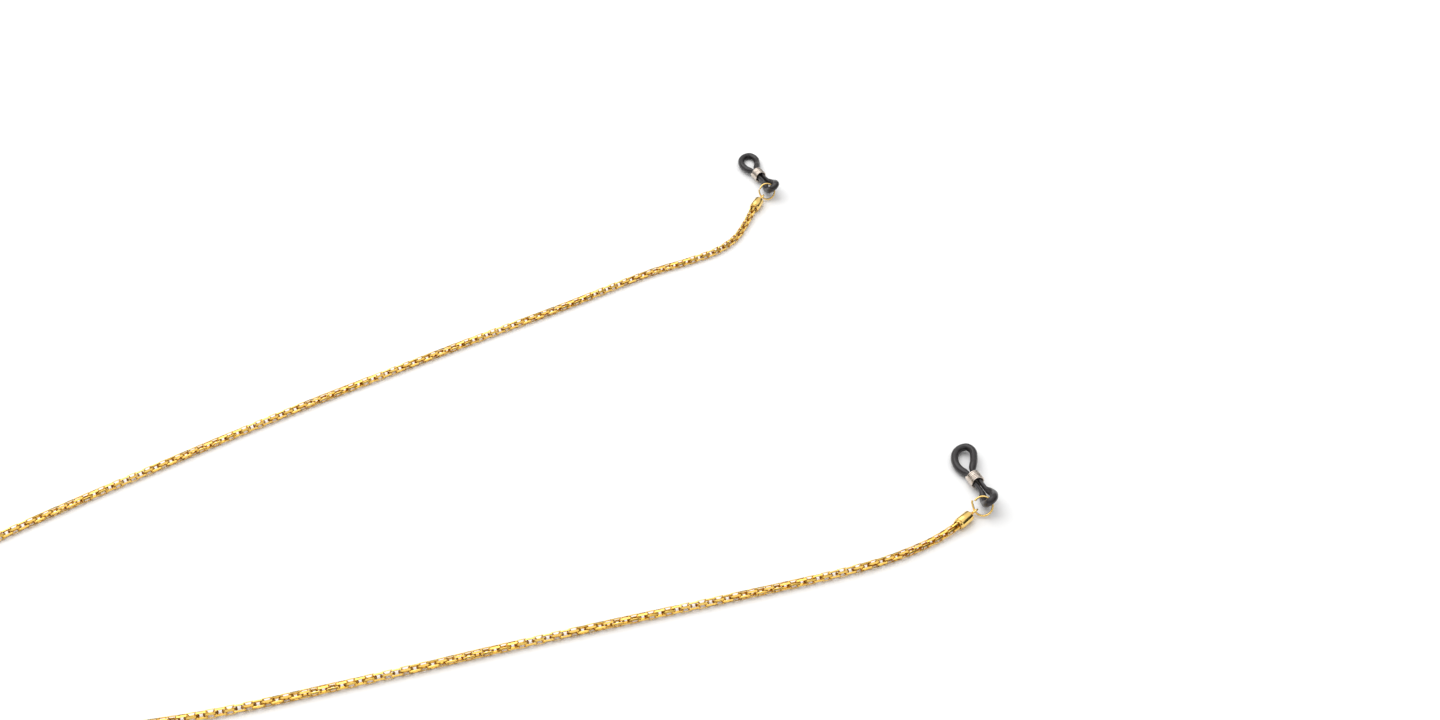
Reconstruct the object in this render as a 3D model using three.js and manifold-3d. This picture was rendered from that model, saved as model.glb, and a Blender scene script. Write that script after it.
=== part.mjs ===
// Eyeglass retainer strap: a gold cage chain lying on a flat surface, with an end cap, a jump ring,
// a rubber temple loop and a coil-spring slider at each end.
// Millimetres, +Z up. The origin is on the surface, under the middle of the two end assemblies.
// +X runs across the strap and +Y from the right end to the left end, as the wearer names them.
// The chain is one plain round cord here, with the middle of its length wound into a small coil.
import * as THREE from "three";
import { ParametricGeometry } from "three/addons/geometries/ParametricGeometry.js";
import { mergeVertices } from "three/addons/utils/BufferGeometryUtils.js";
import Module from "manifold-3d";

// Chain and the coil that holds the middle of it
const CHAIN_D = 1.9;
const CHAIN_SIDES = 8;
const CHAIN_Z = 0.98; // centre of the chain where it lies on the surface
const CHAIN_STEP = 9; // length of one straight step of the plain cord
const COIL_CENTRE = [-213, -128];
const COIL_INNER_R = 6.4;
const COIL_OUTER_R = 12.1;

// End cap: a turned barrel with a blind bore for the chain, a shoulder and a wire eye
const CAP_D = 2.7;
const CAP_L = 3.85;
const COLLAR_D = 2.35;
const COLLAR_L = 0.55;
const SHOULDER_L = 0.95;
const NECK_D = 1.3;
const BORE_D = 2.0;
const BORE_DEPTH = 3.2;
const EYE_HOLE_R = 0.55;
const EYE_WIRE_R = 0.24;
const EYE_SHANK_L = 1.3;
const SHANK_HOLE_R = 0.32;
const ADHESIVE_R = 0.87;
const ADHESIVE_L = 2.5;

// Jump ring
const RING_R = 2.2; // to the middle of the wire
const RING_WIRE_R = 0.24;
const RING_GAP_DEG = 9;

// Rubber loop
const RUBBER_R = 0.9;
const NECK_HALF_SPACING = 0.58; // between the two strands' middles, halved, inside the slider
const NECK_ACROSS_R = 0.52;
const NECK_HIGH_R = 0.98;
const LOOP_EYE_S = -11.2; // middle of the strand at the bottom of the small eye
const LOOP_TOP_S = 12.2; // middle of the strand at the top of the temple loop
const NECK_LOW_S = -4.4;
const NECK_HIGH_S = 2.1;
const RING_SEAT = 1.8; // from the middle of the eye's bottom strand to the middle of the ring's wire

// Coil-spring slider
const SLIDER_R = 1.78; // outer
const SLIDER_WIRE_R = 0.22;
const SLIDER_TURNS = 6;
const SLIDER_L = 3.2;
const SLIDER_Z = 1.81; // its middle, when it rests on the surface

const GOLD = { color: 0xe0b252, roughness: 0.25, metalness: 1 };
const PALE_GOLD = { color: 0xe8c46c, roughness: 0.25, metalness: 1 };
const RUBBER = { color: 0x34323a, roughness: 0.6, metalness: 0 };
const STEEL = { color: 0xcfc8bf, roughness: 0.25, metalness: 1 };
const RESIN = { color: 0xd8cfae, roughness: 0.4, metalness: 0 };

const wasm = await Module();
wasm.setup();

const strap = new THREE.Group();
const rad = THREE.MathUtils.degToRad;

function addMesh(parent, name, geometry, look) {
  const mesh = new THREE.Mesh(geometry, new THREE.MeshStandardMaterial(look));
  mesh.name = name;
  parent.add(mesh);
  return mesh;
}

// ---- joining and cutting ----

function solidOf(geometry, matrix = new THREE.Matrix4()) {
  const bare = geometry.index ? geometry.toNonIndexed() : geometry.clone();
  bare.deleteAttribute("normal");
  bare.deleteAttribute("uv");
  const merged = mergeVertices(bare.applyMatrix4(matrix), 1e-5);
  return new wasm.Manifold(
    new wasm.Mesh({
      numProp: 3,
      vertProperties: merged.attributes.position.array,
      triVerts: new Uint32Array(merged.index.array),
    }),
  );
}

function geometryOf(solid) {
  const mesh = solid.getMesh();
  const geometry = new THREE.BufferGeometry();
  geometry.setAttribute("position", new THREE.BufferAttribute(mesh.vertProperties, 3));
  geometry.setIndex(new THREE.BufferAttribute(mesh.triVerts, 1));
  return geometry;
}

// ---- wires and cords ----

function roundSection(radius, sides) {
  const shape = new THREE.Shape();
  for (let i = 0; i < sides; i++) {
    const turn = (2 * Math.PI * (i + 0.5)) / sides;
    const x = radius * Math.cos(turn);
    const y = radius * Math.sin(turn);
    if (i === 0) shape.moveTo(x, y);
    else shape.lineTo(x, y);
  }
  shape.closePath();
  return shape;
}

function wire(path, radius, sides, steps) {
  return new THREE.ExtrudeGeometry(roundSection(radius, sides), {
    steps,
    bevelEnabled: false,
    extrudePath: path,
  });
}

class Arc extends THREE.Curve {
  constructor(radius, fromDeg, toDeg, rise = 0) {
    super();
    Object.assign(this, { radius, fromDeg, toDeg, rise });
  }
  getPoint(t, target = new THREE.Vector3()) {
    const turn = rad(this.fromDeg + (this.toDeg - this.fromDeg) * t);
    return target.set(this.radius * Math.cos(turn), this.radius * Math.sin(turn), this.rise * t);
  }
}

// ---- the chain ----

// The middle of the chain from the mouth of each cap to the coil, [x, y] on the surface.
const RIGHT_ROUTE = [
  [14.5, -83.3], [7.5, -87.7], [0.0, -91.3], [-13.5, -96.1], [-31.2, -101.6], [-48.5, -106.8],
  [-65.5, -112.0], [-82.0, -117.2], [-98.2, -122.5], [-114.2, -127.6], [-129.8, -132.5],
  [-138.5, -134.9], [-146.5, -136.8], [-159.0, -139.1], [-174.0, -141.0], [-186.0, -141.5],
  [-195.5, -140.2], [-203.4, -137.4],
];
const LEFT_ROUTE = [
  [-27.4, 44.0], [-30.4, 36.8], [-35.2, 31.0], [-42.6, 26.2], [-52.0, 21.2], [-61.5, 15.0],
  [-76.5, 4.5], [-96.3, -8.4], [-115.2, -21.2], [-133.3, -33.6], [-150.5, -46.1],
  [-166.8, -58.4], [-182.5, -70.5], [-197.5, -82.6], [-209.5, -93.8], [-218.5, -105.6],
  [-223.6, -115.6], [-224.7, -121.4],
];

function chainRun(mouth, route) {
  const points = [mouth, ...route.map(([x, y]) => new THREE.Vector3(x, y, CHAIN_Z))];
  const path = new THREE.CatmullRomCurve3(points, false, "centripetal");
  return wire(path, CHAIN_D / 2, CHAIN_SIDES, Math.round(path.getLength() / CHAIN_STEP));
}

function chainCoil() {
  const low = 0.03;
  const high = CHAIN_D;
  const profile = [
    [COIL_INNER_R, 0.5], [COIL_INNER_R + 0.5, low], [COIL_OUTER_R - 0.5, low], [COIL_OUTER_R, 0.5],
    [COIL_OUTER_R, high - 0.5], [COIL_OUTER_R - 0.5, high], [COIL_INNER_R + 0.5, high],
    [COIL_INNER_R, high - 0.5], [COIL_INNER_R, 0.5],
  ].map(([r, z]) => new THREE.Vector2(r, z));
  return new THREE.LatheGeometry(profile, 32).rotateX(Math.PI / 2);
}

// ---- end cap, in its own frame: +X from the chain's mouth to the eye ----

const EYE_X = COLLAR_L + CAP_L + SHOULDER_L + EYE_HOLE_R + EYE_WIRE_R + 0.2;

function capShell() {
  const body = COLLAR_L + CAP_L;
  const tip = body + SHOULDER_L;
  const outline = [
    [0, 0], [COLLAR_D / 2, 0], [COLLAR_D / 2, COLLAR_L - 0.1], [CAP_D / 2 - 0.1, COLLAR_L],
    [CAP_D / 2, COLLAR_L + 0.15], [CAP_D / 2, body - 0.15], [CAP_D / 2 - 0.1, body],
    [NECK_D / 2, tip - 0.15], [NECK_D / 2 - 0.12, tip], [0, tip],
  ].map(([r, x]) => new THREE.Vector2(r, x));
  const turned = solidOf(new THREE.LatheGeometry(outline, 24));
  const bore = new THREE.CylinderGeometry(BORE_D / 2, BORE_D / 2, BORE_DEPTH + 1, 20);
  const boreAt = new THREE.Matrix4().makeTranslation(0, (BORE_DEPTH - 1) / 2, 0);
  const shankHole = new THREE.CylinderGeometry(SHANK_HOLE_R, SHANK_HOLE_R, 3, 10);
  const holeAt = new THREE.Matrix4().makeTranslation(0, tip - 0.5, 0);
  const cut = turned.subtract(solidOf(bore, boreAt)).subtract(solidOf(shankHole, holeAt));
  return geometryOf(cut).rotateZ(-Math.PI / 2);
}

// A closed wire eye with a short shank that is soldered into the cap's tip.
function capEye() {
  const round = new THREE.TorusGeometry(EYE_HOLE_R + EYE_WIRE_R, EYE_WIRE_R, 8, 20);
  const shank = new THREE.CylinderGeometry(0.22, 0.22, EYE_SHANK_L, 10).rotateZ(Math.PI / 2);
  const shankX = -(EYE_HOLE_R + EYE_WIRE_R + EYE_SHANK_L / 2);
  const joined = solidOf(round).add(solidOf(shank, new THREE.Matrix4().makeTranslation(shankX, 0, 0)));
  return geometryOf(joined);
}

function adhesivePlug() {
  const plug = new THREE.CylinderGeometry(ADHESIVE_R, ADHESIVE_R, ADHESIVE_L, 14);
  return plug.rotateZ(Math.PI / 2);
}

// ---- rubber loop, in the slider's frame: +X towards the temple loop ----

// Half the spacing of the two strands at each place along the loop, from the eye to the top.
const LOOP_OUTLINE = [
  [LOOP_EYE_S, 0], [-10.9, 0.74], [-10.1, 1.34], [-8.9, 1.54], [-7.4, 1.44], [-6, 1.08],
  [NECK_LOW_S, 0.64], [-3, NECK_HALF_SPACING], [0, NECK_HALF_SPACING], [NECK_HIGH_S, 0.62],
  [3.2, 1.0], [4.7, 1.68], [6.4, 2.14], [8.4, 2.28], [10.2, 2.06], [11.5, 1.3], [LOOP_TOP_S, 0],
];

// The middle line between the strands is straight through the neck and bends one way at each end.
function middleLine(s, bends) {
  const side = s < 0 ? -1 : 1;
  const start = s < 0 ? -NECK_LOW_S : NECK_HIGH_S;
  const length = (s < 0 ? -LOOP_EYE_S : LOOP_TOP_S) - start;
  const along = Math.abs(s) - start;
  const turn = rad(s < 0 ? bends.eyeDeg : bends.topDeg);
  if (along <= 0) return { x: s, y: 0, heading: 0 };
  const radius = length / turn;
  const angle = along / radius;
  return {
    x: side * (start + radius * Math.sin(angle)),
    y: radius * (1 - Math.cos(angle)),
    heading: side * angle,
  };
}

// The loop comes down from the ring, goes through the slider and ends on the surface.
function loopHeight(s, bends) {
  if (s > NECK_HIGH_S) {
    const fall = THREE.MathUtils.smoothstep(s, NECK_HIGH_S, LOOP_TOP_S - 2);
    return THREE.MathUtils.lerp(SLIDER_Z, bends.topZ, fall);
  }
  const rise = Math.max(0, (NECK_LOW_S - s) / (NECK_LOW_S - LOOP_EYE_S));
  return THREE.MathUtils.lerp(SLIDER_Z, bends.eyeZ, rise * rise * (1.6 - 0.6 * rise));
}

// How far the pair of strands leans over, its left side down.
function lean(s, bends) {
  if (s < 0) {
    const near = THREE.MathUtils.smoothstep(-s, -NECK_LOW_S - 0.6, -LOOP_EYE_S - 1.4);
    return rad(THREE.MathUtils.lerp(bends.neckLeanDeg, bends.eyeLeanDeg, near));
  }
  const near = THREE.MathUtils.smoothstep(s, NECK_HIGH_S, LOOP_TOP_S - 5);
  return rad(THREE.MathUtils.lerp(bends.neckLeanDeg, bends.topLeanDeg, near));
}

function loopPoint(s, halfSpacing, bends) {
  const m = middleLine(s, bends);
  const roll = lean(s, bends);
  const flat = halfSpacing * Math.cos(roll);
  return new THREE.Vector3(
    m.x - flat * Math.sin(m.heading),
    m.y + flat * Math.cos(m.heading),
    loopHeight(s, bends) - SLIDER_Z - halfSpacing * Math.sin(roll),
  );
}

function rubberLoop(bends) {
  const there = LOOP_OUTLINE.map(([s, w]) => loopPoint(s, w, bends));
  const back = LOOP_OUTLINE.slice(1, -1).map(([s, w]) => loopPoint(s, -w, bends)).reverse();
  const path = new THREE.CatmullRomCurve3([...there, ...back], true, "centripetal");
  path.arcLengthDivisions = 600;
  path.updateArcLengths();
  const surface = (u, v, target) => {
    const centre = path.getPointAt(u % 1);
    const tangent = path.getTangentAt(u % 1);
    const roll = lean(centre.x, bends);
    const faceUp = new THREE.Vector3(0, Math.sin(roll), Math.cos(roll));
    const across = new THREE.Vector3().crossVectors(tangent, faceUp).normalize();
    const high = new THREE.Vector3().crossVectors(across, tangent);
    const inNeck =
      THREE.MathUtils.smoothstep(centre.x, NECK_LOW_S - 1.6, NECK_LOW_S + 0.6) *
      (1 - THREE.MathUtils.smoothstep(centre.x, NECK_HIGH_S - 0.4, NECK_HIGH_S + 1.6));
    const turn = 2 * Math.PI * (v % 1);
    target
      .copy(centre)
      .addScaledVector(across, THREE.MathUtils.lerp(RUBBER_R, NECK_ACROSS_R, inNeck) * Math.cos(turn))
      .addScaledVector(high, THREE.MathUtils.lerp(RUBBER_R, NECK_HIGH_R, inNeck) * Math.sin(turn));
  };
  const geometry = new ParametricGeometry(surface, 64, 10);
  geometry.deleteAttribute("normal");
  geometry.deleteAttribute("uv");
  return mergeVertices(geometry, 1e-4);
}

function springSlider() {
  const rise = SLIDER_L - 2 * SLIDER_WIRE_R;
  const helix = new Arc(SLIDER_R - SLIDER_WIRE_R, 0, 360 * SLIDER_TURNS, rise);
  const geometry = wire(helix, SLIDER_WIRE_R, 6, 16 * SLIDER_TURNS);
  return geometry.translate(0, 0, -rise / 2).rotateY(Math.PI / 2);
}

// ---- one end of the strap ----

const at = (heading, length) =>
  new THREE.Vector3(length * Math.cos(rad(heading)), length * Math.sin(rad(heading)), 0);

// ring: middle of the jump ring. Headings are directions on the surface, in degrees from +X.
// The ring is tilted up about a level line at ringHeading; capAt and loopAt are angles round it
// from that line, where the cap's eye and the rubber loop hang.
const ENDS = {
  right: {
    ring: [25.8, -73.9, 2.32],
    ringHeading: -8,
    ringTilt: 48,
    capAt: 218,
    loopAt: 50,
    capHeading: 47,
    sliderHeading: 112,
    bends: {
      eyeDeg: 40,
      topDeg: -44,
      eyeZ: 4.3,
      topZ: 1.5,
      eyeLeanDeg: 53,
      neckLeanDeg: 25,
      topLeanDeg: 12,
    },
    route: RIGHT_ROUTE,
  },
  left: {
    ring: [-21.1, 58.5, 2.41],
    ringHeading: 17,
    ringTilt: 55,
    capAt: 217,
    loopAt: 37,
    capHeading: 68,
    sliderHeading: 118,
    bends: {
      eyeDeg: 24,
      topDeg: -40,
      eyeZ: 3.95,
      topZ: 0.95,
      eyeLeanDeg: 42,
      neckLeanDeg: 10,
      topLeanDeg: 0,
    },
    route: LEFT_ROUTE,
  },
};

function addEnd(name, end) {
  const ring = new THREE.Group();
  ring.position.set(...end.ring);
  ring.rotation.set(rad(end.ringTilt), 0, rad(end.ringHeading), "ZYX");
  strap.add(ring);
  ring.updateMatrixWorld();
  const onRing = (angle) => ring.localToWorld(at(angle, RING_R));
  const gapFrom = 150;
  const arc = new Arc(RING_R, gapFrom + RING_GAP_DEG, gapFrom + 360);
  addMesh(ring, `jump_ring_${name}`, wire(arc, RING_WIRE_R, 7, 40), PALE_GOLD);

  // The cap lies on the surface, and its eye turns to let the ring's wire pass square through it.
  const held = onRing(end.capAt);
  const eyeSlack = EYE_HOLE_R - RING_WIRE_R - 0.1;
  const cap = new THREE.Group();
  cap.position.copy(held).sub(at(end.capHeading, eyeSlack));
  cap.rotation.z = rad(end.capHeading);
  cap.position.z = Math.max(cap.position.z, CAP_D / 2 + 0.02);
  strap.add(cap);
  addMesh(cap, `end_cap_${name}`, capShell().translate(-EYE_X, 0, 0), GOLD);
  const eye = addMesh(cap, `cap_eye_${name}`, capEye(), GOLD);
  const along = at(end.capAt + 90, 1).applyEuler(ring.rotation);
  along.applyAxisAngle(new THREE.Vector3(0, 0, 1), -cap.rotation.z);
  eye.rotation.x = Math.atan2(-along.y, along.z);
  const plug = addMesh(cap, `cap_adhesive_${name}`, adhesivePlug(), RESIN);
  plug.position.x = BORE_DEPTH - ADHESIVE_L / 2 - 0.1 - EYE_X;

  const mouth = cap.position.clone().sub(at(end.capHeading, EYE_X + 0.3));
  mouth.z = CHAIN_Z;
  addMesh(strap, `chain_run_${name}`, chainRun(mouth, end.route), GOLD);

  // The rubber eye hangs on the far side of the ring.
  const seat = onRing(end.loopAt);
  const seatOnLoop = middleLine(LOOP_EYE_S + RING_SEAT, end.bends);
  const loop = new THREE.Group();
  loop.rotation.z = rad(end.sliderHeading);
  const offset = new THREE.Vector3(seatOnLoop.x, seatOnLoop.y, 0).applyEuler(loop.rotation);
  loop.position.set(seat.x - offset.x, seat.y - offset.y, SLIDER_Z);
  strap.add(loop);
  addMesh(loop, `rubber_loop_${name}`, rubberLoop(end.bends), RUBBER);
  addMesh(loop, `spring_slider_${name}`, springSlider(), STEEL);
}

addEnd("right", ENDS.right);
addEnd("left", ENDS.left);
const coil = addMesh(strap, "chain_coil", chainCoil(), GOLD);
coil.position.set(...COIL_CENTRE, 0);

export default strap;
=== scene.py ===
"""Eyeglass retainer strap: gold cage chain, end caps, jump rings, rubber temple loops and coil sliders.

Everything is in metres, in the frame of the CAD model: the strap lies on z = 0.
Lengths are written in millimetres and turned into metres by MM where a mesh is made.
"""

import math
import random

import bpy
import numpy as np
from mathutils import Matrix, Vector


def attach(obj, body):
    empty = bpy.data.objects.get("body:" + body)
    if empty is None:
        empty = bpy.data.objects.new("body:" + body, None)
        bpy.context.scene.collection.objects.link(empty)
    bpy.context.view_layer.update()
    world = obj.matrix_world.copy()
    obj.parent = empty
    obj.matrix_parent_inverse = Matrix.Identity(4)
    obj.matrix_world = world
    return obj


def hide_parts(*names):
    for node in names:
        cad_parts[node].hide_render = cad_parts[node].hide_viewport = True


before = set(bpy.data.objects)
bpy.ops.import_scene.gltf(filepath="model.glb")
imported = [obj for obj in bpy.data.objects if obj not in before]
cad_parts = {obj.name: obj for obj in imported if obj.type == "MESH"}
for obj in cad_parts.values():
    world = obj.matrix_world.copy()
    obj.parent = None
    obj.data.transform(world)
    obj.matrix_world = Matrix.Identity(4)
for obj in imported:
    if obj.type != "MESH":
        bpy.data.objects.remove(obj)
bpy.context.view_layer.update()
MM = 0.001

# ---- camera, at the photograph's viewing angle ----

CAMERA_AT = (-34.5, -389.0, 291.0)
CAMERA_PITCH_DEG = 38
LENS_MM = 46.46

camera = bpy.data.objects.new("camera", bpy.data.cameras.new("camera"))
bpy.context.collection.objects.link(camera)
camera.location = Vector(CAMERA_AT) * MM
camera.rotation_euler = (math.radians(90 - CAMERA_PITCH_DEG), 0, 0)
camera.data.lens = LENS_MM
camera.data.sensor_width = 36
camera.data.clip_start = 0.01
bpy.context.scene.camera = camera

# ---- sizes, in millimetres ----

CHAIN_R = 0.95
CHAIN_Z = 0.98
COIL_CENTRE = (-213.0, -128.0)
COIL_OUTER_R = 11.15
COIL_TURN_PITCH = 1.92
COIL_TURNS = 2.25
LINK_PITCH = 1.9
TWIST_DEG_PER_MM = 1.36
CHAIN_INTO_CAP = 0.45
COIL_START_DEG = 180
COIL_POINTS_PER_TURN = 20
LINE_STEP = 0.1
SPAN_STEPS = 40

RING_R = 2.2
RING_WIRE_R = 0.24
RING_GAP_DEG = 9
RING_GAP_FROM_DEG = 150

CAP_R = 1.35
CAP_L = 3.85
COLLAR_R = 1.175
COLLAR_L = 0.55
SHOULDER_L = 0.95
BORE_R = 1.0
BORE_DEPTH = 3.2
EYE_HOLE_R = 0.55
EYE_WIRE_R = 0.24
EYE_X = COLLAR_L + CAP_L + SHOULDER_L + EYE_HOLE_R + EYE_WIRE_R + 0.2
EYE_SLACK = EYE_HOLE_R - RING_WIRE_R - 0.1
CAP_OFF_TABLE = 0.02

RUBBER_R = 0.9
NECK_HALF_SPACING = 0.58
NECK_ACROSS_R = 0.52
NECK_HIGH_R = 0.98
LOOP_EYE_S = -11.2
LOOP_TOP_S = 12.2
NECK_LOW_S = -4.4
NECK_HIGH_S = 2.1
RING_SEAT = 1.8
LOOP_OUTLINE = [
    (LOOP_EYE_S, 0), (-10.9, 0.74), (-10.1, 1.34), (-8.9, 1.54), (-7.4, 1.44), (-6, 1.08),
    (NECK_LOW_S, 0.64), (-3, NECK_HALF_SPACING), (0, NECK_HALF_SPACING), (NECK_HIGH_S, 0.62),
    (3.2, 1.0), (4.7, 1.68), (6.4, 2.14), (8.4, 2.28), (10.2, 2.06), (11.5, 1.3), (LOOP_TOP_S, 0),
]

SLIDER_R = 1.78
SLIDER_WIRE_R = 0.22
SLIDER_TURNS = 6
SLIDER_L = 3.2
SLIDER_Z = 1.81
SLIDER_PLAY = 0.01

# The chain's route on the surface, from each cap's mouth to the coil.
RIGHT_ROUTE = [
    (14.5, -83.3), (7.5, -87.7), (0.0, -91.3), (-13.5, -96.1), (-31.2, -101.6), (-48.5, -106.8),
    (-65.5, -112.0), (-82.0, -117.2), (-98.2, -122.5), (-114.2, -127.6), (-129.8, -132.5),
    (-138.5, -134.9), (-146.5, -136.8), (-159.0, -139.1), (-174.0, -141.0), (-186.0, -141.5),
    (-195.5, -140.2), (-203.4, -137.4),
]
LEFT_ROUTE = [
    (-27.4, 44.0), (-30.4, 36.8), (-35.2, 31.0), (-42.6, 26.2), (-52.0, 21.2), (-61.5, 15.0),
    (-76.5, 4.5), (-96.3, -8.4), (-115.2, -21.2), (-133.3, -33.6), (-150.5, -46.1),
    (-166.8, -58.4), (-182.5, -70.5), (-197.5, -82.6), (-209.5, -93.8), (-218.5, -105.6),
    (-223.6, -115.6), (-224.7, -121.4),
]
# How the inner end of the coil climbs over its outer turns, and comes down to the right route.
HUMP = [(-210.3, -135.3, 2.75), (-207.2, -135.9, 2.9), (-204.7, -136.7, 2.6)]
HUMP_FOOT_Z = 1.9
COIL_CLIMB = 1.3
COIL_CLIMB_TURNS = 0.2

ENDS = {
    "right": {
        "ring": (25.8, -73.9, 2.32),
        "ring_heading": -8,
        "ring_tilt": 48,
        "cap_at": 218,
        "loop_at": 50,
        "cap_heading": 47,
        "slider_heading": 112,
        "eye_deg": 40,
        "top_deg": -44,
        "eye_z": 4.3,
        "top_z": 1.5,
        "eye_lean": 53,
        "neck_lean": 25,
        "top_lean": 12,
        "ring_flare": 0.5,
        "route": RIGHT_ROUTE,
    },
    "left": {
        "ring": (-21.1, 58.5, 2.41),
        "ring_heading": 17,
        "ring_tilt": 55,
        "cap_at": 217,
        "loop_at": 37,
        "cap_heading": 68,
        "slider_heading": 118,
        "eye_deg": 24,
        "top_deg": -40,
        "eye_z": 3.95,
        "top_z": 0.95,
        "eye_lean": 42,
        "neck_lean": 10,
        "top_lean": 0,
        "ring_flare": 0.12,
        "route": LEFT_ROUTE,
    },
}


# ---- small helpers ----


def turn_z(degrees):
    return Matrix.Rotation(math.radians(degrees), 4, "Z")


def turn_x(degrees):
    return Matrix.Rotation(math.radians(degrees), 4, "X")


def along(degrees, length=1.0):
    """A vector on the surface, with that heading from +X."""
    return Vector((length * math.cos(math.radians(degrees)), length * math.sin(math.radians(degrees)), 0))


def smoothstep(x, low, high):
    t = min(max((x - low) / (high - low), 0.0), 1.0)
    return t * t * (3 - 2 * t)


def lerp(a, b, t):
    return a + (b - a) * t


def smooth_line(points, closed=False):
    """A centripetal Catmull-Rom line through the points, as an array of points."""
    p = [Vector(q) for q in points]
    count = len(p)
    line = []
    for i in range(count if closed else count - 1):
        p1, p2 = p[i], p[(i + 1) % count]
        p0 = p[i - 1] if closed or i else p1 * 2 - p2
        p3 = p[(i + 2) % count] if closed or i + 2 < count else p2 * 2 - p1
        d0, d1, d2 = (max((b - a).length, 1e-6) ** 0.5 for a, b in ((p0, p1), (p1, p2), (p2, p3)))
        m1 = ((p1 - p0) / d0 - (p2 - p0) / (d0 + d1) + (p2 - p1) / d1) * d1
        m2 = ((p2 - p1) / d1 - (p3 - p1) / (d1 + d2) + (p3 - p2) / d2) * d1
        for k in range(SPAN_STEPS):
            t = k / SPAN_STEPS
            a = p1 * (2 * t**3 - 3 * t**2 + 1) + m1 * (t**3 - 2 * t**2 + t)
            line.append(a + p2 * (3 * t**2 - 2 * t**3) + m2 * (t**3 - t**2))
    if not closed:
        line.append(p[-1])
    return np.array([tuple(v) for v in line])


def evenly(line, count, closed=False):
    """The line again, as that many points at even distances."""
    if closed:
        line = np.vstack([line, line[:1]])
    run = np.concatenate([[0], np.cumsum(np.linalg.norm(np.diff(line, axis=0), axis=1))])
    at = np.linspace(0, run[-1], count + 1)[:-1] if closed else np.linspace(0, run[-1], count)
    return np.stack([np.interp(at, run, line[:, k]) for k in range(3)], axis=1), run[-1]


def unit(rows):
    return rows / np.maximum(np.linalg.norm(rows, axis=1, keepdims=True), 1e-12)


def add_piece(name, vertices, faces, material, body, nodes, sharp_deg=40):
    """A new mesh piece, in metres from millimetres, that rides on a body and stands for CAD nodes."""
    mesh = bpy.data.meshes.new(name)
    mesh.from_pydata([tuple(v) for v in np.asarray(vertices) * MM], [], faces)
    mesh.update()
    mesh.shade_smooth()
    mesh.set_sharp_from_angle(angle=math.radians(sharp_deg))
    piece = bpy.data.objects.new(name, mesh)
    bpy.context.collection.objects.link(piece)
    mesh.materials.append(material)
    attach(piece, body)
    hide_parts(*nodes)
    return piece


def tube_faces(rings, sides, closed):
    """Quads round a tube of vertex rings, with end caps if it is open."""
    faces = []
    for i in range(rings if closed else rings - 1):
        a, b = i * sides, ((i + 1) % rings) * sides
        for k in range(sides):
            n = (k + 1) % sides
            faces.append((a + k, a + n, b + n, b + k))
    if not closed:
        faces.append(tuple(reversed(range(sides))))
        faces.append(tuple(range((rings - 1) * sides, rings * sides)))
    return faces


def lathe(profile, segments):
    """Vertices and faces of a closed solid turned about +X. The profile is (x, r), axis to axis."""
    vertices, rings = [], []
    for x, r in profile:
        if r < 1e-6:
            rings.append([len(vertices)])
            vertices.append((x, 0, 0))
            continue
        rings.append(list(range(len(vertices), len(vertices) + segments)))
        for k in range(segments):
            turn = 2 * math.pi * k / segments
            vertices.append((x, r * math.cos(turn), r * math.sin(turn)))
    faces = []
    for a, b in zip(rings, rings[1:]):
        for k in range(segments):
            n = (k + 1) % segments
            if len(a) == 1:
                faces.append((a[0], b[k], b[n]))
            elif len(b) == 1:
                faces.append((a[k], b[0], a[n]))
            else:
                faces.append((a[k], b[k], b[n], a[n]))
    return vertices, faces


def moved(vertices, matrix):
    return [tuple(matrix @ Vector(v)) for v in vertices]


# ---- materials ----


def material(name, colour, metallic, roughness):
    made = bpy.data.materials.new(name)
    made.use_nodes = True
    shader = made.node_tree.nodes["Principled BSDF"]
    shader.inputs["Base Color"].default_value = (*colour, 1)
    shader.inputs["Metallic"].default_value = metallic
    shader.inputs["Roughness"].default_value = roughness
    return made, shader


def noise(made, scale, detail=4.0):
    """Noise whose scale is in features per millimetre of the object."""
    tree = made.node_tree
    place = tree.nodes.new("ShaderNodeTexCoord")
    texture = tree.nodes.new("ShaderNodeTexNoise")
    texture.inputs["Scale"].default_value = scale / MM
    texture.inputs["Detail"].default_value = detail
    texture.inputs["Roughness"].default_value = 0.6
    tree.links.new(place.outputs["Object"], texture.inputs["Vector"])
    return texture.outputs["Fac"]


def spread(made, value, low, high):
    """Maps the middle of a noise's values onto low to high."""
    node = made.node_tree.nodes.new("ShaderNodeMapRange")
    node.inputs["From Min"].default_value = 0.3
    node.inputs["From Max"].default_value = 0.7
    node.inputs["To Min"].default_value = low
    node.inputs["To Max"].default_value = high
    made.node_tree.links.new(value, node.inputs["Value"])
    return node.outputs["Result"]


def ramp(made, value, stops):
    """A colour ramp in a material or a world, with stops of (place, colour)."""
    node = made.node_tree.nodes.new("ShaderNodeValToRGB")
    while len(node.color_ramp.elements) < len(stops):
        node.color_ramp.elements.new(0.5)
    for element, (place, colour) in zip(node.color_ramp.elements, stops):
        element.position = place
        element.color = (*colour, 1)
    made.node_tree.links.new(value, node.inputs["Fac"])
    return node.outputs["Color"]


def bump(made, shader, value, distance_mm):
    node = made.node_tree.nodes.new("ShaderNodeBump")
    node.inputs["Distance"].default_value = distance_mm * MM
    node.inputs["Strength"].default_value = 1.0
    made.node_tree.links.new(value, node.inputs["Height"])
    made.node_tree.links.new(node.outputs["Normal"], shader.inputs["Normal"])


def multiply(made, a, b):
    node = made.node_tree.nodes.new("ShaderNodeMix")
    node.data_type = "RGBA"
    node.blend_type = "MULTIPLY"
    node.inputs["Factor"].default_value = 1
    made.node_tree.links.new(a, node.inputs["A"])
    made.node_tree.links.new(b, node.inputs["B"])
    return node.outputs["Result"]


def attribute(made, name):
    node = made.node_tree.nodes.new("ShaderNodeAttribute")
    node.attribute_name = name
    return node.outputs["Fac"]


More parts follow.
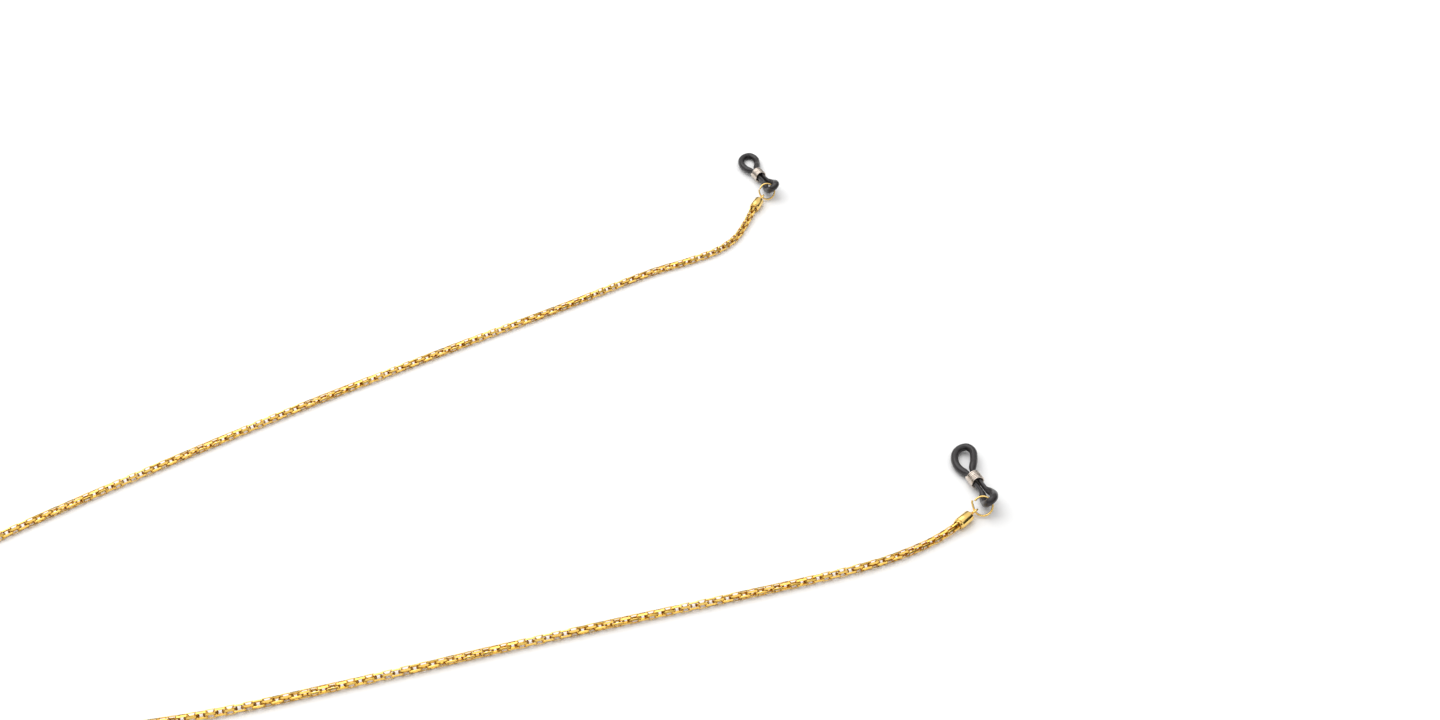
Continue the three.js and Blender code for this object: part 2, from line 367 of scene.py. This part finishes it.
def gold(name, light, deep, roughness, grain, grain_depth, painted_shade=None):
    """Polished plate, a little uneven in tone and polish, with fine tool grain, and, if given, painted
    shade that darkens it towards the chain's core.
    """
    made, shader = material(name, light, 1.0, roughness)
    link = made.node_tree.links.new
    tone = ramp(made, noise(made, 0.9), [(0.3, deep), (0.7, light)])
    # painted shade: the tone is multiplied darker towards the chain's core, by each vertex's reach
    if painted_shade:
        tone = multiply(made, tone, ramp(made, attribute(made, "reach"), painted_shade))
    link(tone, shader.inputs["Base Color"])
    link(spread(made, noise(made, 2.2), roughness * 0.8, roughness * 1.5), shader.inputs["Roughness"])
    bump(made, shader, noise(made, grain, 5.0), grain_depth)
    return made


# Painted shade: the links are darkened towards the chain's core, where the inside of the cage falls into
# shade.
CHAIN_PAINTED_SHADE = [(0.25, (0.34, 0.21, 0.09)), (0.80, (0.85, 0.74, 0.52)), (0.93, (1, 1, 1))]
chain_gold = gold("chain_gold", (1.0, 0.70, 0.18), (0.97, 0.60, 0.12), 0.2, 7.0, 0.012, CHAIN_PAINTED_SHADE)
cap_gold = gold("cap_gold", (1.0, 0.73, 0.25), (0.96, 0.62, 0.17), 0.13, 5.0, 0.004)
wire_gold = gold("wire_gold", (1.0, 0.72, 0.27), (0.90, 0.57, 0.16), 0.16, 6.0, 0.005)
steel = gold("spring_nickel", (0.80, 0.72, 0.64), (0.58, 0.50, 0.44), 0.2, 6.0, 0.006)

rubber, rubber_shader = material("rubber_cord", (0.012, 0.009, 0.010), 0.0, 0.3)
rubber.node_tree.links.new(
    ramp(rubber, noise(rubber, 0.6), [(0.3, (0.008, 0.006, 0.007)), (0.7, (0.017, 0.013, 0.015))]),
    rubber_shader.inputs["Base Color"],
)
rubber.node_tree.links.new(
    spread(rubber, noise(rubber, 1.6), 0.26, 0.42), rubber_shader.inputs["Roughness"]
)
bump(rubber, rubber_shader, noise(rubber, 9.0, 3.0), 0.01)
rubber_shader.inputs["Sheen Weight"].default_value = 0.04

resin, resin_shader = material("set_adhesive", (0.72, 0.64, 0.45), 0.0, 0.25)
resin.node_tree.links.new(
    ramp(resin, noise(resin, 1.2), [(0.3, (0.6, 0.5, 0.32)), (0.7, (0.8, 0.74, 0.58))]),
    resin_shader.inputs["Base Color"],
)
bump(resin, resin_shader, noise(resin, 3.0), 0.02)
for end_name in ENDS:
    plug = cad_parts[f"cap_adhesive_{end_name}"]
    plug.data.materials.clear()
    plug.data.materials.append(resin)

# ---- where each end's pieces are ----


def place_end(end):
    """Works out the ring's and cap's frames of one end, in millimetres."""
    ring = Matrix.Translation(end["ring"]) @ turn_z(end["ring_heading"]) @ turn_x(end["ring_tilt"])
    held = ring @ along(end["cap_at"], RING_R)
    eye = held - along(end["cap_heading"], EYE_SLACK)
    eye.z = max(eye.z, CAP_R + CAP_OFF_TABLE)
    wire_way = turn_z(-end["cap_heading"]) @ (ring.to_3x3() @ along(end["cap_at"] + 90)).to_4d()
    end["ring_frame"] = ring
    end["cap_frame"] = Matrix.Translation(eye) @ turn_z(end["cap_heading"])
    end["eye_turn"] = math.degrees(math.atan2(-wire_way.y, wire_way.z))
    end["mouth"] = eye - along(end["cap_heading"], EYE_X)
    seat = ring @ along(end["loop_at"], RING_R)
    x, y, _ = middle_line(LOOP_EYE_S + RING_SEAT, end)
    offset = turn_z(end["slider_heading"]) @ Vector((x, y, 0))
    centre = Vector((seat.x - offset.x, seat.y - offset.y, SLIDER_Z))
    end["loop_frame"] = Matrix.Translation(centre) @ turn_z(end["slider_heading"])


def middle_line(s, end):
    """Place and heading of the line between the loop's two strands, straight through the neck."""
    side = -1 if s < 0 else 1
    start = -NECK_LOW_S if s < 0 else NECK_HIGH_S
    length = (-LOOP_EYE_S if s < 0 else LOOP_TOP_S) - start
    beyond = abs(s) - start
    if beyond <= 0:
        return s, 0.0, 0.0
    radius = length / math.radians(end["eye_deg"] if s < 0 else end["top_deg"])
    angle = beyond / radius
    return side * (start + radius * math.sin(angle)), radius * (1 - math.cos(angle)), side * angle


def loop_height(s, end):
    """Height of the middle line above the slider's middle."""
    if s > NECK_HIGH_S:
        return (end["top_z"] - SLIDER_Z) * smoothstep(s, NECK_HIGH_S, LOOP_TOP_S - 2)
    rise = max(0.0, (NECK_LOW_S - s) / (NECK_LOW_S - LOOP_EYE_S))
    return (end["eye_z"] - SLIDER_Z) * rise * rise * (1.6 - 0.6 * rise)


def lean(s, end):
    """How far the pair of strands leans over, its left side down, in radians."""
    if s < 0:
        near = smoothstep(-s, -NECK_LOW_S - 0.6, -LOOP_EYE_S - 1.4)
        return math.radians(lerp(end["neck_lean"], end["eye_lean"], near))
    near = smoothstep(s, NECK_HIGH_S, LOOP_TOP_S - 5)
    return math.radians(lerp(end["neck_lean"], end["top_lean"], near))


for end in ENDS.values():
    place_end(end)

# ---- the chain: one free cord from cap to cap ----


def chain_line():
    """The chain's middle line, in millimetres, from the right cap's bore to the left cap's."""
    right, left = ENDS["right"], ENDS["left"]
    points = [right["mouth"] + along(right["cap_heading"], CHAIN_INTO_CAP), right["mouth"]]
    points += [(x, y, CHAIN_Z) for x, y in RIGHT_ROUTE[:-1]]
    points.append((*RIGHT_ROUTE[-1], HUMP_FOOT_Z))
    points += reversed(HUMP)
    steps = int(COIL_TURNS * COIL_POINTS_PER_TURN)
    for k in range(steps, -1, -1):
        share = k / steps
        angle = math.radians(COIL_START_DEG + 360 * COIL_TURNS * share)
        radius = COIL_OUTER_R - COIL_TURN_PITCH * COIL_TURNS * share
        climb = COIL_CLIMB * smoothstep(share, 1 - COIL_CLIMB_TURNS / COIL_TURNS, 1)
        x = COIL_CENTRE[0] + radius * math.cos(angle)
        y = COIL_CENTRE[1] + radius * math.sin(angle)
        points.append((x, y, CHAIN_Z + climb))
    points += [(x, y, CHAIN_Z) for x, y in reversed(LEFT_ROUTE)]
    points += [left["mouth"], left["mouth"] + along(left["cap_heading"], CHAIN_INTO_CAP)]
    smooth = smooth_line(points)
    length = evenly(smooth, 2)[1]
    return evenly(smooth, int(length / LINE_STEP))


# One rib of a link: distance along the chain, distance from its middle, and half the rib's width.
RIB = [
    (-1.42, 0.16, 0.13), (-1.34, 0.38, 0.17), (-1.20, 0.66, 0.21), (-0.96, 0.83, 0.24),
    (0.0, 0.855, 0.24),
    (0.96, 0.83, 0.24), (1.20, 0.66, 0.21), (1.34, 0.38, 0.17), (1.42, 0.16, 0.13),
]
RIB_HALF_THICK = 0.09
RIB_SECTION = [(1, -0.3), (0.72, 1), (-0.72, 1), (-1, -0.3), (-0.6, -1), (0.6, -1)]
HUB_X = 1.34
HUB_R = 0.36
HUB_HALF_L = 0.3
HUB_OUTLINE = [(-1, 0), (-0.7, 0.7), (0, 1), (0.7, 0.7), (1, 0)]


def link_template():
    """One link: four ribs that meet in a small hub at each end.

    Returns its vertices and faces, and each vertex's reach: its share of the chain's radius.
    """
    vertices, faces = [], []
    last = len(RIB) - 1
    for rib in range(4):
        turn = math.pi / 2 * rib
        out = np.array([0, math.cos(turn), math.sin(turn)])
        side = np.array([0, -math.sin(turn), math.cos(turn)])
        first = len(vertices)
        for i, (x, r, half) in enumerate(RIB):
            before, after = RIB[max(i - 1, 0)], RIB[min(i + 1, last)]
            way = np.array([after[0] - before[0], after[1] - before[1]])
            way /= np.linalg.norm(way)
            face = np.array([-way[1], 0, 0]) + way[0] * out
            for across, up in RIB_SECTION:
                spot = np.array([x, 0, 0]) + r * out
                vertices.append(spot + across * half * side + up * RIB_HALF_THICK * face)
        faces += [tuple(first + v for v in f) for f in tube_faces(len(RIB), len(RIB_SECTION), False)]
    for hub_x in (-HUB_X, HUB_X):
        first = len(vertices)
        outline = [(hub_x + x * HUB_HALF_L, r * HUB_R) for x, r in HUB_OUTLINE]
        hub_vertices, hub_faces = lathe(outline, 6)
        vertices += [np.array(v) for v in hub_vertices]
        faces += [tuple(first + v for v in f) for f in hub_faces]
    vertices = np.array(vertices)
    return vertices, faces, np.linalg.norm(vertices[:, 1:], axis=1) / CHAIN_R


def chain():
    """Links swept along the chain's line, alternate links turned by an eighth of a turn."""
    line, length = chain_line()
    tangent = unit(np.gradient(line, axis=0))
    side = unit(np.cross(tangent, [0, 0, 1]))
    over = np.cross(side, tangent)
    run = np.linspace(0, length, len(line))
    link, link_faces, reach = link_template()
    count = int(length / LINK_PITCH)
    pitch = length / count
    rng = random.Random(7)
    vertices, faces, reaches = [], [], []
    for i in range(count):
        middle = (i + 0.5) * pitch
        roll = math.radians(TWIST_DEG_PER_MM * middle + 45 * (i % 2) + rng.uniform(-4, 4))
        grow = 1 + rng.uniform(-0.015, 0.01)
        at = np.clip(middle + link[:, 0], 0, length)
        y = grow * (link[:, 1] * math.cos(roll) - link[:, 2] * math.sin(roll))
        z = grow * (link[:, 1] * math.sin(roll) + link[:, 2] * math.cos(roll))
        centre, s, o = (
            np.stack([np.interp(at, run, rows[:, k]) for k in range(3)], axis=1)
            for rows in (line, side, over)
        )
        vertices.append(centre + y[:, None] * s + z[:, None] * o)
        faces += [tuple(v + i * len(link) for v in f) for f in link_faces]
        reaches.append(reach)
    nodes = ("chain_run_right", "chain_run_left", "chain_coil")
    piece = add_piece(
        "chain", np.vstack(vertices), faces, chain_gold, "strap", nodes, 25
    )
    layer = piece.data.attributes.new("reach", "FLOAT", "POINT")
    layer.data.foreach_set("value", np.concatenate(reaches).astype(np.float32))


chain()

# ---- rubber loops ----


def rubber_loop(name, end):
    """A closed ring of rubber cord, pinched into a neck where the slider sits, with one glued seam."""

    def point(s, half):
        x, y, heading = middle_line(s, end)
        roll = lean(s, end)
        flat = half * math.cos(roll)
        return (
            x - flat * math.sin(heading),
            y + flat * math.cos(heading),
            loop_height(s, end) - half * math.sin(roll),
        )

    stations, sides = 260, 24
    seam_at = 0.825  # the share of the way round where the cord's ends meet, on the small eye
    outline = [point(s, w) for s, w in LOOP_OUTLINE]
    outline += [point(s, -w) for s, w in reversed(LOOP_OUTLINE[1:-1])]
    line, length = evenly(smooth_line(outline, True), stations, True)
    tangent = unit(np.roll(line, -1, axis=0) - np.roll(line, 1, axis=0))
    vertices = []
    for i, (centre, way) in enumerate(zip(line, tangent)):
        roll = lean(centre[0], end)
        across = np.cross(way, (0, math.sin(roll), math.cos(roll)))
        across /= np.linalg.norm(across)
        high = np.cross(across, way)
        neck = smoothstep(centre[0], NECK_LOW_S - 1.6, NECK_LOW_S + 0.6) * (
            1 - smoothstep(centre[0], NECK_HIGH_S - 0.4, NECK_HIGH_S + 1.6)
        )
        off = abs(i / stations - seam_at) * length
        swell = 1 + 0.035 * math.exp(-((off / 0.35) ** 2)) - 0.07 * math.exp(-((off / 0.09) ** 2))
        for k in range(sides):
            turn = 2 * math.pi * k / sides
            vertices.append(
                centre
                + across * lerp(RUBBER_R, NECK_ACROSS_R, neck) * swell * math.cos(turn)
                + high * lerp(RUBBER_R, NECK_HIGH_R, neck) * swell * math.sin(turn)
            )
    add_piece(
        f"rubber_loop_{name}_cord",
        moved(vertices, end["loop_frame"]),
        tube_faces(stations, sides, True),
        rubber,
        f"rubber_loop_{name}",
        [f"rubber_loop_{name}"],
        60,
    )


def wire_along(line, radius, sides):
    """Vertices and faces of a round wire along an open line, its ends slightly rounded over."""
    tangent = unit(np.gradient(line, axis=0))
    side = np.cross(tangent[0], (0, 0, 1))
    if np.linalg.norm(side) < 0.1:
        side = np.cross(tangent[0], (1, 0, 0))
    vertices = []
    last = len(line) - 1
    rows = [(0, 0.6), (0, 0.9)] + [(i, 1.0) for i in range(last + 1)] + [(last, 0.9), (last, 0.6)]
    for n, (i, share) in enumerate(rows):
        way = tangent[i]
        side = side - way * np.dot(side, way)
        side /= np.linalg.norm(side)
        other = np.cross(way, side)
        past = {0: -0.5, 1: -0.35, len(rows) - 1: 0.5, len(rows) - 2: 0.35}.get(n, 0) * radius
        for k in range(sides):
            turn = 2 * math.pi * k / sides
            vertices.append(
                line[i]
                + way * past
                + radius * share * (side * math.cos(turn) + other * math.sin(turn))
            )
    return vertices, tube_faces(len(rows), sides, False)


def spring_slider(name, end):
    """Close-wound wire, its turns a little uneven."""
    steps = SLIDER_TURNS * 48
    rise = SLIDER_L - 2 * SLIDER_WIRE_R
    line = []
    for i in range(steps + 1):
        share = i / steps
        turn = 2 * math.pi * SLIDER_TURNS * share
        radius = SLIDER_R - SLIDER_WIRE_R - SLIDER_PLAY + 0.015 * math.sin(turn * 0.37)
        line.append((rise * (share - 0.5), radius * math.cos(turn), radius * math.sin(turn)))
    vertices, faces = wire_along(np.array(line), SLIDER_WIRE_R - SLIDER_PLAY, 12)
    add_piece(
        f"spring_slider_{name}_wire",
        moved(vertices, end["loop_frame"]),
        faces,
        steel,
        f"spring_slider_{name}",
        [f"spring_slider_{name}"],
    )


def jump_ring(name, end):
    """Round wire, cut once, with one end straightened so that it springs outwards."""
    start, stop = RING_GAP_FROM_DEG + RING_GAP_DEG, RING_GAP_FROM_DEG + 360
    steps = 120
    line = []
    for i in range(steps + 1):
        angle = lerp(start, stop, i / steps)
        radius = RING_R + end["ring_flare"] * (1 - smoothstep(angle, start, start + 44)) ** 2
        lift = 0.12 * smoothstep(angle, stop - 60, stop)
        line.append(tuple(along(angle, radius) + Vector((0, 0, lift))))
    vertices, faces = wire_along(np.array(line), RING_WIRE_R, 14)
    add_piece(
        f"jump_ring_{name}_wire",
        moved(vertices, end["ring_frame"]),
        faces,
        wire_gold,
        f"jump_ring_{name}",
        [f"jump_ring_{name}"],
    )


def end_cap(name, end):
    """The turned barrel, with a rolled collar at its mouth, and the wire eye soldered in its tip."""
    body = COLLAR_L + CAP_L
    tip = body + SHOULDER_L
    profile = [
        (BORE_DEPTH, 0), (BORE_DEPTH, BORE_R), (0.12, BORE_R), (0.03, BORE_R + 0.02),
        (0, BORE_R + 0.05), (0.03, COLLAR_R - 0.02), (0.12, COLLAR_R), (0.34, COLLAR_R),
        (0.42, COLLAR_R - 0.03), (0.47, COLLAR_R - 0.05), (0.53, COLLAR_R - 0.03),
        (0.56, COLLAR_R + 0.04), (0.62, CAP_R - 0.04), (0.72, CAP_R), (body - 0.22, CAP_R),
        (body - 0.1, CAP_R - 0.03), (body - 0.02, CAP_R - 0.1), (body + 0.18, CAP_R - 0.28),
        (body + 0.52, 0.74), (tip - 0.2, 0.6), (tip - 0.06, 0.53), (tip, 0.4), (tip + 0.02, 0),
    ]
    profile = [(x - EYE_X, r) for x, r in profile]
    vertices, faces = lathe(profile, 72)
    add_piece(
        f"end_cap_{name}_barrel",
        moved(vertices, end["cap_frame"]),
        faces,
        cap_gold,
        "strap",
        [f"end_cap_{name}"],
        28,
    )
    turned = end["cap_frame"] @ turn_x(end["eye_turn"])
    middle = EYE_HOLE_R + EYE_WIRE_R
    vertices = []
    rings, sides = 48, 14
    for i in range(rings):
        out = along(360 * i / rings)
        for k in range(sides):
            turn = 2 * math.pi * k / sides
            spot = out * (middle + EYE_WIRE_R * math.cos(turn))
            vertices.append(turned @ (spot + Vector((0, 0, EYE_WIRE_R * math.sin(turn)))))
    faces = tube_faces(rings, sides, True)
    first = len(vertices)
    foot = -(middle + 0.62)
    shank = [(foot - 0.1, 0), (foot - 0.1, 0.4), (foot + 0.1, 0.36), (foot + 0.26, 0.27)]
    shank += [(-middle - 0.12, 0.22), (-middle + 0.1, 0.2), (-middle + 0.14, 0)]
    shank_vertices, shank_faces = lathe(shank, 24)
    vertices += moved(shank_vertices, turned)
    faces += [tuple(first + v for v in f) for f in shank_faces]
    add_piece(
        f"cap_eye_{name}_wire",
        [tuple(v) for v in vertices],
        faces,
        wire_gold,
        "strap",
        [f"cap_eye_{name}"],
        50,
    )


for end_name, end in ENDS.items():
    rubber_loop(end_name, end)
    spring_slider(end_name, end)
    jump_ring(end_name, end)
    end_cap(end_name, end)

# ---- floor and light ----

FLOOR_HALF = 3.0
SKY = [(0.0, 0.10), (0.22, 0.16), (0.45, 0.85), (1.0, 1.15)]  # height, brightness
CARD_TOWARDS = (1.0, -0.1, 0.3)
CARD_FADE = {"From Min": 0.86, "From Max": 0.95, "To Min": 1.0, "To Max": 0.12}


def floor():
    corners = [(-1, -1), (1, -1), (1, 1), (-1, 1)]
    mesh = bpy.data.meshes.new("floor")
    mesh.from_pydata([(x * FLOOR_HALF, y * FLOOR_HALF, 0) for x, y in corners], [], [(0, 1, 2, 3)])
    look, shader = material("white_sweep", (0.93, 0.93, 0.93), 0.0, 0.7)
    shader.inputs["Specular IOR Level"].default_value = 0.2
    mesh.materials.append(look)
    sweep = bpy.data.objects.new("floor", mesh)
    bpy.context.collection.objects.link(sweep)


def studio():
    """A soft sky, bright above and dark below, with a black card beyond the right end.

    The card gives the polished metal its dark bands.
    """
    world = bpy.data.worlds.new("studio")
    bpy.context.scene.world = world
    world.use_nodes = True
    tree = world.node_tree
    place = tree.nodes.new("ShaderNodeTexCoord")
    split = tree.nodes.new("ShaderNodeSeparateXYZ")
    tree.links.new(place.outputs["Generated"], split.inputs["Vector"])
    shade = ramp(world, split.outputs["Z"], [(height, (level,) * 3) for height, level in SKY])
    towards = tree.nodes.new("ShaderNodeVectorMath")
    towards.operation = "DOT_PRODUCT"
    towards.inputs[1].default_value = Vector(CARD_TOWARDS).normalized()
    tree.links.new(place.outputs["Generated"], towards.inputs[0])
    card = tree.nodes.new("ShaderNodeMapRange")
    card.interpolation_type = "SMOOTHSTEP"
    for socket, value in CARD_FADE.items():
        card.inputs[socket].default_value = value
    tree.links.new(towards.outputs["Value"], card.inputs["Value"])
    background = tree.nodes["Background"]
    tree.links.new(multiply(world, shade, card.outputs["Result"]), background.inputs["Color"])
    background.inputs["Strength"].default_value = 0.96


def area_light(name, at, aim, size, energy):
    lamp = bpy.data.lights.new(name, "AREA")
    lamp.shape = "RECTANGLE"
    lamp.size, lamp.size_y = size
    lamp.energy = energy
    holder = bpy.data.objects.new(name, lamp)
    bpy.context.collection.objects.link(holder)
    holder.location = at
    holder.rotation_euler = (Vector(aim) - Vector(at)).to_track_quat("-Z", "Y").to_euler()


floor()
studio()
area_light("key", (-0.55, 0.45, 1.15), (-0.05, -0.03, 0), (1.7, 1.5), 11)

bpy.context.scene.view_settings.view_transform = "Standard"
